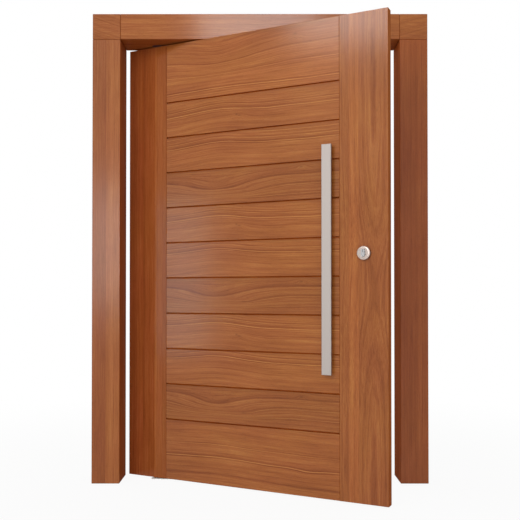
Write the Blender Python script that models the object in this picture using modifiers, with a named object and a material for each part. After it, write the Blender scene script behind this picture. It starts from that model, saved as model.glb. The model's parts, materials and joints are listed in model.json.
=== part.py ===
"""Pivot entry door: a wide leaf of tongued and grooved boards between two stiles, in a square timber frame.

Units are metres, +Z is up and -Y is the front. The origin is the middle of the left jamb's foot.
The leaf turns about an upright axis set in from its left edge, on a pin in the floor and a pin in
the head. It is built straight, on an empty that stands on that axis, and the empty is turned to
the angle at which the door stands open.
"""

import math

import bmesh
import bpy
from mathutils import Matrix, Vector

# Clearances
SEAT_GAP = 0.0003  # between pieces that touch or fit in each other
PIVOT_SIDE_GAP = 0.008  # from the closed leaf's left edge to its jamb, where the leaf's heel swings by
LOCK_SIDE_GAP = 0.0055  # from the closed leaf's right edge to its jamb
TOP_GAP = 0.007  # from the leaf to the head
FLOOR_GAP = 0.007  # from the leaf to the floor
PIN_CLEARANCE = 0.0005  # round each pivot pin

# Leaf
LEAF_WIDTH = 1.320
LEAF_HEIGHT = 2.100
LEAF_THICKNESS = 0.042
STILE_WIDTH = 0.217
TOP_BOARD_FACE = 0.284  # height of the top board's face
BOTTOM_BOARD_FACE = 0.286
MIDDLE_BOARDS = 9  # they share the height between the top and the bottom board
REST_ANGLE = math.radians(25.8)  # how far the leaf stands open

# Board joints
SHADOW_GAP_HEIGHT = 0.005  # the channel that shows between two boards, cut in the upper one
SHADOW_GAP_DEPTH = 0.009
EDGE_TONGUE_THICKNESS = 0.012
EDGE_TONGUE_HEIGHT = 0.010
END_TONGUE_THICKNESS = 0.010
END_TONGUE_LENGTH = 0.012
LEAF_ARRIS = 0.0012  # the small chamfer on the edges of the boards and stiles

# Frame
JAMB_FACE = 0.132
HEAD_FACE = 0.121
FRAME_DEPTH = 0.166
FRAME_ARRIS = 0.0015
TENON_SHOULDER = 0.035  # from a timber's side to the side of its tenon
TENON_LENGTH = 0.025

# Pivots
PIVOT_INSET = 0.185  # from the leaf's left edge to the axis
PIVOT_SETBACK = 0.102  # from the frame's front to the axis
PIN_RADIUS = 0.007
PIN_ENGAGEMENT = 0.024  # length of each pin inside the leaf
HEAD_PIN_ROOT = 0.034  # length of the upper pin inside the head
PIN_NOSE = 0.002  # the chamfer at the pin's free end
CUP_RADIUS = 0.014
CUP_DEPTH = 0.032
CUP_FLANGE_RADIUS = 0.0175
CUP_FLANGE_THICKNESS = 0.003
PLATE_LENGTH = 0.110
PLATE_WIDTH = 0.036
FLOOR_PLATE_THICKNESS = 0.002
HEAD_PLATE_THICKNESS = 0.004
SCREW_SPACING = 0.076  # between the two screw holes of a plate
SCREW_HOLE_RADIUS = 0.0025
COUNTERSINK_RADIUS = 0.0045

# Pull handles, one on each face
BAR_LENGTH = 1.000
BAR_WIDTH = 0.044
BAR_DEPTH = 0.012
BAR_ARRIS = 0.0012
BAR_EDGE_DISTANCE = 0.268  # from the leaf's right edge to the bar's middle
BAR_STANDOFF = 0.016  # the finger gap
POST_RADIUS = 0.008
POST_BOARDS = {"lower": 4, "upper": 8}  # the boards that the posts are fixed to, from the floor
POST_RISE = 0.075  # from the lower edge of its board to a post
SPIGOT_RADIUS = 0.005
SPIGOT_LENGTH = 0.008
STUD_RADIUS = 0.004
STUD_GRIP = 0.012  # length of the stud inside the post behind the leaf

# Lock
LOCK_HEIGHT = 1.073
LOCK_EDGE_DISTANCE = 0.106  # from the leaf's right edge
ROSETTE_RADIUS = 0.030
ROSETTE_FACE_RADIUS = 0.022
ROSETTE_THICKNESS = 0.015
ROSETTE_EDGE = 0.009  # height of the rosette's straight side
CYLINDER_WIDTH = 0.017
CYLINDER_HEIGHT = 0.033
CYLINDER_PROUD = 0.005  # how far the cylinder stands out of the rosette
KEYWAY_WIDTH = 0.0022
KEYWAY_HEIGHT = 0.009
KEYWAY_DEPTH = 0.006

# Facets
TURNED_STEPS = 32
RIM_STEPS = 5
ARC_STEPS = 12
CUT_MARGIN = 0.002  # how far a cutter reaches out of what it cuts
WELD_DISTANCE = 0.000001  # points closer than this are one point
SHARP_ANGLE = math.radians(30)  # a turned edge sharper than this stays an edge when shaded

# Colours, sRGB from 0 to 255, and how rough each finish is
LEFT_JAMB_COLOUR = (166, 103, 68)
RIGHT_JAMB_COLOUR = (139, 78, 50)
HEAD_COLOUR = (178, 113, 76)
LEFT_STILE_COLOUR = (150, 82, 46)
RIGHT_STILE_COLOUR = (168, 107, 70)
BOARD_COLOURS = ((170, 106, 68), (165, 102, 65), (160, 98, 62))
WOOD_ROUGHNESS = 0.42
STEEL_COLOUR = (190, 188, 184)
STEEL_ROUGHNESS = 0.34

# Places that follow from the sizes
OPENING_WIDTH = PIVOT_SIDE_GAP + LEAF_WIDTH + LOCK_SIDE_GAP
OPENING_HEIGHT = FLOOR_GAP + LEAF_HEIGHT + TOP_GAP
LEFT_JAMB_INSIDE = JAMB_FACE / 2
RIGHT_JAMB_INSIDE = LEFT_JAMB_INSIDE + OPENING_WIDTH
FRAME_FRONT = -FRAME_DEPTH / 2
AXIS_X = LEFT_JAMB_INSIDE + PIVOT_SIDE_GAP + PIVOT_INSET
AXIS_Y = FRAME_FRONT + PIVOT_SETBACK
LEAF_LEFT = -PIVOT_INSET
LEAF_RIGHT = LEAF_WIDTH - PIVOT_INSET
LEAF_FACE = LEAF_THICKNESS / 2
LEAF_BOTTOM = FLOOR_GAP
LEAF_TOP = FLOOR_GAP + LEAF_HEIGHT
MIDDLE_BOARD_FACE = (LEAF_HEIGHT - TOP_BOARD_FACE - BOTTOM_BOARD_FACE) / MIDDLE_BOARDS
BAR_X = LEAF_RIGHT - BAR_EDGE_DISTANCE
LOCK_X = LEAF_RIGHT - LOCK_EDGE_DISTANCE

# Turns that stand a shape drawn in XY, or turned about Z, where it belongs
ALONG_X = Matrix(((0, 0, 1), (1, 0, 0), (0, 1, 0))).to_4x4()  # outline (y, z), thickness along X
TO_FRONT = Matrix.Rotation(math.radians(90), 4, "X")  # +Z of the shape points to the front
TO_BACK = Matrix.Rotation(math.radians(-90), 4, "X")


def clear_scene():
    for obj in list(bpy.data.objects):
        bpy.data.objects.remove(obj, do_unlink=True)


def new_collection(name):
    collection = bpy.data.collections.new(name)
    bpy.context.scene.collection.children.link(collection)
    return collection


def finish_of(name, colour, roughness, metallic):
    """A plain material; the colour is sRGB from 0 to 255."""
    material = bpy.data.materials.new(name)
    material.use_nodes = True
    shader = material.node_tree.nodes["Principled BSDF"]
    linear = [((c / 255 + 0.055) / 1.055) ** 2.4 for c in colour]
    shader.inputs["Base Color"].default_value = (*linear, 1)
    shader.inputs["Roughness"].default_value = roughness
    shader.inputs["Metallic"].default_value = metallic
    material.diffuse_color = (*linear, 1)
    return material


def wood(name, colour):
    return finish_of(name, colour, WOOD_ROUGHNESS, 0)


def satin_steel(name):
    return finish_of(name, STEEL_COLOUR, STEEL_ROUGHNESS, 1)


def evaluated_mesh(obj):
    """The mesh that an object's curve or modifiers make, welded, and the object itself removed."""
    bpy.context.view_layer.update()
    graph = bpy.context.evaluated_depsgraph_get()
    mesh = bpy.data.meshes.new_from_object(obj.evaluated_get(graph))
    bpy.data.objects.remove(obj, do_unlink=True)
    bm = bmesh.new()
    bm.from_mesh(mesh)
    bmesh.ops.remove_doubles(bm, verts=bm.verts, dist=WELD_DISTANCE)
    bm.to_mesh(mesh)
    bm.free()
    return mesh


def outline_mesh(name, points, low, high, turn=Matrix.Identity(4)):
    """A flat closed outline in XY, thick from low to high along Z, then turned."""
    curve = bpy.data.curves.new(name, "CURVE")
    curve.dimensions = "2D"
    curve.fill_mode = "BOTH"
    curve.extrude = (high - low) / 2
    spline = curve.splines.new("POLY")
    spline.points.add(len(points) - 1)
    for point, (x, y) in zip(spline.points, points):
        point.co = (x, y, 0, 1)
    spline.use_cyclic_u = True
    helper = bpy.data.objects.new(name, curve)
    bpy.context.scene.collection.objects.link(helper)
    mesh = evaluated_mesh(helper)
    mesh.transform(turn @ Matrix.Translation((0, 0, (low + high) / 2)))
    return mesh


def turned_mesh(name, profile, turn=Matrix.Identity(4)):
    """A profile of (radius, height) points, down its outer side from the axis, turned about Z."""
    mesh = bpy.data.meshes.new(name)
    bm = bmesh.new()
    verts = [bm.verts.new((radius, 0, height)) for radius, height in profile]
    for first, second in zip(verts, verts[1:]):
        bm.edges.new((first, second))
    bm.to_mesh(mesh)
    bm.free()
    helper = bpy.data.objects.new(name, mesh)
    bpy.context.scene.collection.objects.link(helper)
    screw = helper.modifiers.new("Screw", "SCREW")
    screw.steps = TURNED_STEPS
    screw.render_steps = TURNED_STEPS
    screw.use_merge_vertices = True
    screw.merge_threshold = WELD_DISTANCE
    result = evaluated_mesh(helper)
    result.transform(turn)
    result.shade_smooth()
    result.set_sharp_from_angle(angle=SHARP_ANGLE)
    return result


def block_bmesh(low, high, arris):
    """A block between two corners, with its edges softened."""
    bm = bmesh.new()
    size = Vector(high) - Vector(low)
    middle = (Vector(high) + Vector(low)) / 2
    bmesh.ops.create_cube(bm, size=1)
    bmesh.ops.scale(bm, vec=size, verts=bm.verts)
    bmesh.ops.translate(bm, vec=middle, verts=bm.verts)
    if arris:
        edges = bm.edges[:]
        bmesh.ops.bevel(bm, geom=edges, offset=arris, segments=1, profile=0.5, affect="EDGES", material=-1)
    return bm


def block_mesh(name, low, high, arris=0, tenons=()):
    """A block, with a tenon on each side that one of the given directions points out of."""
    bm = block_bmesh(low, high, arris)
    for direction in tenons:
        direction = Vector(direction)
        facing = [face for face in bm.faces if face.normal.dot(direction) > 0.999]
        side = max(facing, key=lambda face: face.calc_area())
        inset = TENON_SHOULDER - arris
        bmesh.ops.inset_region(bm, faces=[side], thickness=inset, use_even_offset=True, use_boundary=True)
        root = bmesh.ops.extrude_discrete_faces(bm, faces=[side])["faces"][0]
        bmesh.ops.translate(bm, vec=direction * TENON_LENGTH, verts=root.verts)
    mesh = bpy.data.meshes.new(name)
    bm.to_mesh(mesh)
    bm.free()
    return mesh


def cut(obj, cutter):
    modifier = obj.modifiers.new("Cut " + cutter.name, "BOOLEAN")
    modifier.operation = "DIFFERENCE"
    modifier.solver = "EXACT"
    modifier.object = cutter


class Builder:
    """Places pieces and cutters; what belongs to the leaf is parented to the empty on its axis."""

    def __init__(self):
        self.parts = new_collection("pivot_entry_door")
        self.cutters = new_collection("cutters")
        self.leaf_axis = bpy.data.objects.new("leaf_axis", None)
        self.leaf_axis.location = (AXIS_X, AXIS_Y, 0)
        self.leaf_axis.rotation_euler = (0, 0, -REST_ANGLE)
        self.parts.objects.link(self.leaf_axis)

    def place(self, collection, name, mesh, location, on_leaf):
        obj = bpy.data.objects.new(name, mesh)
        obj.location = location
        if on_leaf:
            obj.parent = self.leaf_axis
        collection.objects.link(obj)
        return obj

    def piece(self, name, mesh, material, location=(0, 0, 0), on_leaf=False, cutters=()):
        obj = self.place(self.parts, name, mesh, location, on_leaf)
        mesh.materials.append(material)
        for cutter in cutters:
            cut(obj, cutter)
        return obj

    def cutter(self, name, mesh, location=(0, 0, 0), on_leaf=False):
        obj = self.place(self.cutters, name, mesh, location, on_leaf)
        obj.hide_render = True
        obj.display_type = "WIRE"
        return obj


def arc(centre, radius, start, end, steps):
    """Points on an arc, both ends included; angles in radians."""
    angles = [start + (end - start) * i / steps for i in range(steps + 1)]
    return [(centre[0] + radius * math.cos(a), centre[1] + radius * math.sin(a)) for a in angles]


def tenon_mortise(name, low, high, direction):
    """The hole for a tenon on the side of a block that the direction points out of, a little larger."""
    direction = Vector(direction)
    low, high = Vector(low), Vector(high)
    shrink = TENON_SHOULDER - SEAT_GAP
    for i in range(3):
        if direction[i] == 0:
            low[i] += shrink
            high[i] -= shrink
        elif direction[i] > 0:
            low[i] = high[i] - CUT_MARGIN
            high[i] += TENON_LENGTH + SEAT_GAP
        else:
            high[i] = low[i] + CUT_MARGIN
            low[i] -= TENON_LENGTH + SEAT_GAP
    return block_mesh(name, low, high)


def jamb_box(inside, outwards):
    """Corners of the jamb whose inner face is at X = inside and which lies to one side of it."""
    near, far = sorted((inside, inside + outwards * JAMB_FACE))
    return (near, FRAME_FRONT, 0), (far, -FRAME_FRONT, OPENING_HEIGHT - SEAT_GAP)


def build_frame(door):
    head_low = (LEFT_JAMB_INSIDE + SEAT_GAP, FRAME_FRONT, OPENING_HEIGHT)
    head_high = (RIGHT_JAMB_INSIDE - SEAT_GAP, -FRAME_FRONT, OPENING_HEIGHT + HEAD_FACE)
    sides = (
        ("left", LEFT_JAMB_INSIDE, -1, LEFT_JAMB_COLOUR),
        ("right", RIGHT_JAMB_INSIDE, 1, RIGHT_JAMB_COLOUR),
    )
    for side, inside, outwards, colour in sides:
        low, high = jamb_box(inside, outwards)
        jamb = block_mesh(f"{side}_jamb", low, high, FRAME_ARRIS, tenons=[(0, 0, 1)])
        door.piece(f"{side}_jamb", jamb, wood(f"{side}_jamb_wood", colour))
        jamb_mortise = tenon_mortise("mortise", low, high, (0, 0, 1))
        head_mortise = tenon_mortise("mortise", head_low, head_high, (outwards, 0, 0))
        mortises = (
            door.cutter(f"{side}_jamb_mortise", jamb_mortise),
            door.cutter(f"{side}_head_mortise", head_mortise),
        )
        block_low = (low[0], FRAME_FRONT, OPENING_HEIGHT)
        block_high = (high[0], -FRAME_FRONT, OPENING_HEIGHT + HEAD_FACE)
        corner = block_mesh(f"{side}_corner_block", block_low, block_high, FRAME_ARRIS)
        door.piece(f"{side}_corner_block", corner, wood(f"{side}_corner_wood", colour), cutters=mortises)
    head = block_mesh("head", head_low, head_high, FRAME_ARRIS, tenons=[(1, 0, 0), (-1, 0, 0)])
    socket = plate_outline(SEAT_GAP)
    recess = outline_mesh("head_plate_recess", socket, -CUT_MARGIN, HEAD_PLATE_THICKNESS + SEAT_GAP)
    bore_profile = plain_pin(PIN_RADIUS + SEAT_GAP, -CUT_MARGIN, HEAD_PIN_ROOT + SEAT_GAP)
    bore = turned_mesh("head_pin_bore", bore_profile)
    at_soffit = (AXIS_X, AXIS_Y, OPENING_HEIGHT)
    cutters = (
        door.cutter("head_plate_recess", recess, at_soffit),
        door.cutter("head_pin_bore", bore, at_soffit),
    )
    door.piece("head", head, wood("head_wood", HEAD_COLOUR), cutters=cutters)


def plain_pin(radius, low, high):
    return [(0, high), (radius, high), (radius, low), (0, low)]


def plate_outline(grow=0.0):
    """A flat plate with round ends, long in X."""
    radius = PLATE_WIDTH / 2 + grow
    reach = (PLATE_LENGTH - PLATE_WIDTH) / 2
    right = arc((reach, 0), radius, -math.pi / 2, math.pi / 2, ARC_STEPS)
    left = arc((-reach, 0), radius, math.pi / 2, 3 * math.pi / 2, ARC_STEPS)
    return right + left


def screw_hole(name, thickness, mouth):
    """A countersunk hole through a plate; mouth is +1 where its wide end is up and -1 where it is down."""
    slope = COUNTERSINK_RADIUS - SCREW_HOLE_RADIUS
    wide = COUNTERSINK_RADIUS + CUT_MARGIN
    top = thickness + CUT_MARGIN
    sink = thickness - slope
    profile = [
        (0, top),
        (wide, top),
        (SCREW_HOLE_RADIUS, sink),
        (SCREW_HOLE_RADIUS, -CUT_MARGIN),
        (0, -CUT_MARGIN),
    ]
    if mouth < 0:
        profile = [(radius, thickness - height) for radius, height in reversed(profile)]
    return turned_mesh(name, profile)


def build_pivot_plate(door, name, thickness, height, mouth):
    """A plate that carries a pivot pin; height is that of its underside."""
    mesh = outline_mesh(name, plate_outline(), 0, thickness)
    at = (AXIS_X, AXIS_Y, height)
    bore = turned_mesh(name, plain_pin(PIN_RADIUS + SEAT_GAP, -CUT_MARGIN, thickness + CUT_MARGIN))
    cutters = [door.cutter(f"{name}_bore", bore, at)]
    for side in (-1, 1):
        hole_at = (AXIS_X + side * SCREW_SPACING / 2, AXIS_Y, height)
        cutters.append(door.cutter(f"{name}_screw", screw_hole(name, thickness, mouth), hole_at))
    door.piece(name, mesh, satin_steel(name), at, cutters=cutters)


def build_frame_pivots(door):
    build_pivot_plate(door, "floor_pivot_plate", FLOOR_PLATE_THICKNESS, 0, 1)
    build_pivot_plate(door, "head_pivot_plate", HEAD_PLATE_THICKNESS, OPENING_HEIGHT, -1)
    floor_end = LEAF_BOTTOM + PIN_ENGAGEMENT
    nose = PIN_RADIUS - PIN_NOSE
    profile = [(0, floor_end), (nose, floor_end), (PIN_RADIUS, floor_end - PIN_NOSE), (PIN_RADIUS, 0), (0, 0)]
    pin = turned_mesh("floor_pivot_pin", profile)
    door.piece("floor_pivot_pin", pin, satin_steel("floor_pin"), (AXIS_X, AXIS_Y, 0))
    top = OPENING_HEIGHT + HEAD_PIN_ROOT
    end = LEAF_TOP - PIN_ENGAGEMENT
    profile = [(0, top), (PIN_RADIUS, top), (PIN_RADIUS, end + PIN_NOSE), (nose, end), (0, end)]
    pin = turned_mesh("head_pivot_pin", profile)
    door.piece("head_pivot_pin", pin, satin_steel("head_pin"), (AXIS_X, AXIS_Y, 0))


def cup_profile(grow, bored):
    """A flanged cup let into the leaf's edge, its flange at height 0 and its body above it."""
    body = CUP_RADIUS + grow
    flange = CUP_FLANGE_RADIUS + grow
    step = CUP_FLANGE_THICKNESS + grow
    top = CUP_DEPTH + grow
    profile = [(0, top), (body, top), (body, step), (flange, step)]
    if not bored:
        return profile + [(flange, -CUT_MARGIN), (0, -CUT_MARGIN)]
    bore = PIN_RADIUS + PIN_CLEARANCE
    end = PIN_ENGAGEMENT + SEAT_GAP
    return profile + [(flange, 0), (bore, 0), (bore, end), (0, end)]


def upside_down(profile):
    """The same turned profile with its top down, still running down its outer side."""
    return [(radius, -height) for radius, height in reversed(profile)]


def build_leaf_pivots(door):
    """The two cups that turn on the pins, and the cutters of their seats."""
    ends = (("bottom", LEAF_BOTTOM, lambda profile: profile), ("top", LEAF_TOP, upside_down))
    seats = []
    for name, height, way_up in ends:
        cup = turned_mesh(f"{name}_pivot_cup", way_up(cup_profile(0, True)))
        door.piece(f"{name}_pivot_cup", cup, satin_steel(f"{name}_cup"), (0, 0, height), on_leaf=True)
        seat = turned_mesh(f"{name}_cup_seat", way_up(cup_profile(SEAT_GAP, False)))
        seats.append(door.cutter(f"{name}_cup_seat", seat, (0, 0, height), on_leaf=True))
    return seats


def stile_outline(outer, inner):
    """Plan of a stile from its outer to its inner edge, which is grooved for the boards' end tongues."""
    inwards = math.copysign(1, inner - outer)
    arris = LEAF_ARRIS
    groove = END_TONGUE_THICKNESS / 2 + SEAT_GAP
    floor = inner - inwards * (END_TONGUE_LENGTH + SEAT_GAP)
    back = [
        (inner, groove),
        (inner, LEAF_FACE - arris),
        (inner - inwards * arris, LEAF_FACE),
        (outer + inwards * arris, LEAF_FACE),
        (outer, LEAF_FACE - arris),
    ]
    front = [(x, -y) for x, y in reversed(back)]
    return [(floor, groove)] + back + front + [(floor, -groove)]


def build_stiles(door, cup_seats, lock_hole):
    ends = (
        ("left_stile", LEAF_LEFT, LEAF_LEFT + STILE_WIDTH, LEFT_STILE_COLOUR, cup_seats),
        ("right_stile", LEAF_RIGHT, LEAF_RIGHT - STILE_WIDTH, RIGHT_STILE_COLOUR, [lock_hole]),
    )
    for name, outer, inner, colour, cutters in ends:
        mesh = outline_mesh(name, stile_outline(outer, inner), LEAF_BOTTOM, LEAF_TOP)
        door.piece(name, mesh, wood(name, colour), on_leaf=True, cutters=cutters)


def board_outline(height, grooved, tongued):
    """Section of a board, as (y, z) with z from 0; it stands on the tongue below and carries one above."""
    tongue = EDGE_TONGUE_THICKNESS / 2
    groove = tongue + SEAT_GAP
    if grooved:
        channel = LEAF_FACE - SHADOW_GAP_DEPTH
        edge = SHADOW_GAP_HEIGHT
        back = [(groove, EDGE_TONGUE_HEIGHT + SEAT_GAP), (groove, 0), (channel, 0), (channel, edge)]
    else:
        edge = 0
        back = []
    back += [
        (LEAF_FACE - LEAF_ARRIS, edge),
        (LEAF_FACE, edge + LEAF_ARRIS),
        (LEAF_FACE, height - LEAF_ARRIS),
        (LEAF_FACE - LEAF_ARRIS, height),
    ]
    if tongued:
        back += [(tongue, height), (tongue, height + EDGE_TONGUE_HEIGHT)]
    front = [(-y, z) for y, z in reversed(back)]
    return back + front


def board_span():
    """Ends of the boards' tongues, which lie inside the grooves of the stiles."""
    reach = END_TONGUE_LENGTH - SEAT_GAP
    return LEAF_LEFT + STILE_WIDTH - reach, LEAF_RIGHT - STILE_WIDTH + reach


def end_shoulder_mesh(end):
    """What is cut from both faces of all boards at one end, to leave the end tongue; end is -1 or +1."""
    if end < 0:
        shoulder = LEAF_LEFT + STILE_WIDTH + SEAT_GAP
    else:
        shoulder = LEAF_RIGHT - STILE_WIDTH - SEAT_GAP
    outside = shoulder + end * (END_TONGUE_LENGTH + CUT_MARGIN)
    tongue = END_TONGUE_THICKNESS / 2
    over = LEAF_FACE + CUT_MARGIN
    run = LEAF_ARRIS + CUT_MARGIN
    points = [
        (shoulder, tongue),
        (outside, tongue),
        (outside, over),
        (shoulder - end * run, over),
        (shoulder, LEAF_FACE - LEAF_ARRIS),
    ]
    bm = bmesh.new()
    for face in (-1, 1):
        outline = [(x, face * y) for x, y in points]
        bm.from_mesh(outline_mesh("shoulder", outline, LEAF_BOTTOM - CUT_MARGIN, LEAF_TOP + CUT_MARGIN))
    mesh = bpy.data.meshes.new("shoulder")
    bm.to_mesh(mesh)
    bm.free()
    return mesh


def board_edges():
    """The lower and upper edge of each board's face, from the floor up."""
    faces = [BOTTOM_BOARD_FACE] + [MIDDLE_BOARD_FACE] * MIDDLE_BOARDS + [TOP_BOARD_FACE]
    edges = []
    low = LEAF_BOTTOM
    for face in faces:
        edges.append((low, low + face))
        low += face
    return edges


def build_boards(door, stud_holes):
    """The boards from the floor up; each stud hole comes with the number of the board it goes through."""
    shoulders = []
    for end in (-1, 1):
        shoulders.append(door.cutter(f"board_shoulder_{end}", end_shoulder_mesh(end), on_leaf=True))
    left, right = board_span()
    edges = board_edges()
    for number, (low, high) in enumerate(edges, start=1):
        grooved = number > 1
        tongued = number < len(edges)
        foot = low + (SEAT_GAP / 2 if grooved else 0)
        top = high - (SEAT_GAP / 2 if tongued else 0)
        name = f"board_{number:02d}"
        mesh = outline_mesh(name, board_outline(top - foot, grooved, tongued), left, right, ALONG_X)
        drilled = [hole for board, hole in stud_holes if board == number]
        material = wood(name, BOARD_COLOURS[number % len(BOARD_COLOURS)])
        door.piece(name, mesh, material, (0, 0, foot), on_leaf=True, cutters=shoulders + drilled)


def post_heights():
    """Each post's name, the number of its board and its height."""
    edges = board_edges()
    return [(name, board, edges[board - 1][0] + POST_RISE) for name, board in POST_BOARDS.items()]


def build_stud_holes(door):
    """Cutters of the holes through the leaf for the studs that clamp the two handles, with their boards."""
    radius = STUD_RADIUS + SEAT_GAP
    reach = LEAF_FACE + CUT_MARGIN
    holes = []
    for name, board, z in post_heights():
        mesh = turned_mesh("stud_hole", plain_pin(radius, -reach, reach), TO_FRONT)
        holes.append((board, door.cutter(f"{name}_stud_hole", mesh, (BAR_X, 0, z), on_leaf=True)))
    return holes


def post_profile(with_stud):
    """A handle post from its spigot in the bar, at the top, to the leaf, at height 0."""
    foot = SEAT_GAP
    shoulder = BAR_STANDOFF - SEAT_GAP
    profile = [
        (0, BAR_STANDOFF + SPIGOT_LENGTH - SEAT_GAP),
        (SPIGOT_RADIUS, BAR_STANDOFF + SPIGOT_LENGTH - SEAT_GAP),
        (SPIGOT_RADIUS, shoulder),
        (POST_RADIUS, shoulder),
        (POST_RADIUS, foot),
    ]
    if with_stud:
        tip = -LEAF_THICKNESS - STUD_GRIP
        return profile + [(STUD_RADIUS, foot), (STUD_RADIUS, tip), (0, tip)]
    bore = STUD_RADIUS + SEAT_GAP
    end = STUD_GRIP + SEAT_GAP
    return profile + [(bore, foot), (bore, end), (0, end)]


def build_handle(door, side, facing, turn):
    """One pull handle; facing is -1 for the front face of the leaf and +1 for the back."""
    inner = LEAF_FACE + BAR_STANDOFF
    near, far = sorted((facing * inner, facing * (inner + BAR_DEPTH)))
    half = BAR_LENGTH / 2
    bar = block_mesh(f"{side}_bar", (-BAR_WIDTH / 2, near, -half), (BAR_WIDTH / 2, far, half), BAR_ARRIS)
    posts = post_heights()
    middle = sum(z for name, board, z in posts) / len(posts)
    sockets = []
    for name, board, z in posts:
        profile = plain_pin(SPIGOT_RADIUS + SEAT_GAP, BAR_STANDOFF - CUT_MARGIN, BAR_STANDOFF + SPIGOT_LENGTH)
        at = (BAR_X, facing * LEAF_FACE, z)
        socket = turned_mesh("spigot_socket", profile, turn)
        sockets.append(door.cutter(f"{side}_{name}_spigot_socket", socket, at, on_leaf=True))
        post = turned_mesh(f"{side}_post", post_profile(facing < 0), turn)
        node = f"{side}_handle_{name}_post"
        door.piece(node, post, satin_steel(node), at, on_leaf=True)
    node = f"{side}_handle_bar"
    door.piece(node, bar, satin_steel(node), (BAR_X, 0, middle), on_leaf=True, cutters=sockets)


def cylinder_outline(grow=0.0):
    """The oval section of the lock cylinder, its middle at 0."""
    radius = CYLINDER_WIDTH / 2 + grow
    rise = (CYLINDER_HEIGHT - CYLINDER_WIDTH) / 2
    top = arc((0, rise), radius, 0, math.pi, ARC_STEPS)
    bottom = arc((0, -rise), radius, math.pi, 2 * math.pi, ARC_STEPS)
    return top + bottom


def rosette_profile():
    """A flat face, a rounded rim and a straight side; its back is at height 0."""
    width = ROSETTE_RADIUS - ROSETTE_FACE_RADIUS
    drop = ROSETTE_THICKNESS - ROSETTE_EDGE
    rim = []
    for i in range(RIM_STEPS + 1):
        angle = math.pi / 2 * i / RIM_STEPS
        rim.append((ROSETTE_FACE_RADIUS + width * math.sin(angle), ROSETTE_EDGE + drop * math.cos(angle)))
    return [(0, ROSETTE_THICKNESS)] + rim + [(ROSETTE_RADIUS, SEAT_GAP), (0, SEAT_GAP)]


def build_lock(door):
    """The oval cylinder through the right stile and a rosette on each face; gives the stile's cutter."""
    reach = LEAF_FACE + ROSETTE_THICKNESS + CYLINDER_PROUD
    at = (LOCK_X, 0, LOCK_HEIGHT)
    beyond = reach + CUT_MARGIN
    hole_mesh = outline_mesh("lock_hole", cylinder_outline(SEAT_GAP), -beyond, beyond, TO_FRONT)
    hole = door.cutter("lock_hole", hole_mesh, at, on_leaf=True)
    keyway_z = (CYLINDER_HEIGHT - CYLINDER_WIDTH) / 2
    keyways = []
    for side, facing in (("front", -1), ("back", 1)):
        mouth = facing * beyond
        end = facing * (reach - KEYWAY_DEPTH)
        near, far = sorted((mouth, end))
        low = (-KEYWAY_WIDTH / 2, near, keyway_z - KEYWAY_HEIGHT / 2)
        high = (KEYWAY_WIDTH / 2, far, keyway_z + KEYWAY_HEIGHT / 2)
        keyways.append(door.cutter(f"{side}_keyway", block_mesh("keyway", low, high), at, on_leaf=True))
    cylinder = outline_mesh("lock_cylinder", cylinder_outline(), -reach, reach, TO_FRONT)
    door.piece("lock_cylinder", cylinder, satin_steel("lock_cylinder"), at, on_leaf=True, cutters=keyways)
    for side, facing, turn in (("front", -1, TO_FRONT), ("back", 1, TO_BACK)):
        mesh = turned_mesh(f"{side}_lock_rosette", rosette_profile(), turn)
        place = (LOCK_X, facing * LEAF_FACE, LOCK_HEIGHT)
        material = satin_steel(f"{side}_rosette")
        door.piece(f"{side}_lock_rosette", mesh, material, place, on_leaf=True, cutters=[hole])
    return hole


def main():
    clear_scene()
    door = Builder()
    build_frame(door)
    build_frame_pivots(door)
    cup_seats = build_leaf_pivots(door)
    lock_hole = build_lock(door)
    build_stiles(door, cup_seats, lock_hole)
    build_boards(door, build_stud_holes(door))
    build_handle(door, "front", -1, TO_FRONT)
    build_handle(door, "back", 1, TO_BACK)


main()
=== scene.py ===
"""Looks of the pivot entry door: varnished timber, satin steel, screws and lock plugs, studio and camera.

Units are metres, +Z is up and -Y is the front, as in the frame. The leaf stands open, so a part of it
is dressed in leaf coordinates: X from the axis to the lock side, Y to the back, Z up.
"""

import json
import math
from dataclasses import dataclass, replace
from typing import NamedTuple

import bmesh
import bpy
from mathutils import Matrix, Vector


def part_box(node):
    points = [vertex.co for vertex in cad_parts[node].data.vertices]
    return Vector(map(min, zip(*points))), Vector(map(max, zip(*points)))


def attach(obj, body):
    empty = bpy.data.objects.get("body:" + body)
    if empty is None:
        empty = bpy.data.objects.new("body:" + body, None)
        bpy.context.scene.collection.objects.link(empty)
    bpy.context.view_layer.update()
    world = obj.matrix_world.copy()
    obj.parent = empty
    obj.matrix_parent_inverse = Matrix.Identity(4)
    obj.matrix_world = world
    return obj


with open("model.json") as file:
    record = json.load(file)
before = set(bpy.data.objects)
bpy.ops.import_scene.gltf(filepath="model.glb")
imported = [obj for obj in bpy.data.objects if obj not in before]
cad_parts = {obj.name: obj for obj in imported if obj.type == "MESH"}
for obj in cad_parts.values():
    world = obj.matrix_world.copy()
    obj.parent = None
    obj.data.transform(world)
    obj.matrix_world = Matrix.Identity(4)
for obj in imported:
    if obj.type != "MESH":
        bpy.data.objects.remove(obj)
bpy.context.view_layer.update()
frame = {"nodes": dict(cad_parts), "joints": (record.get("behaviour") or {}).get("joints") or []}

MM = 0.001

FRAME_AXES = Matrix()  # the frame's own axes
PIVOT = frame["joints"][0]
REST_ANGLE = math.radians(-PIVOT["range_deg"][0])
LEAF_AXES = Matrix.Translation(PIVOT["pos_m"]) @ Matrix.Rotation(-REST_ANGLE, 4, "Z")  # the leaf's own axes


def to_linear(colour):
    """An sRGB hex colour as a linear RGBA value."""
    channels = [int(colour[i:i + 2], 16) / 255 for i in (0, 2, 4)]
    linear = [c / 12.92 if c <= 0.04045 else ((c + 0.055) / 1.055) ** 2.4 for c in channels]
    return (*linear, 1)


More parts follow.
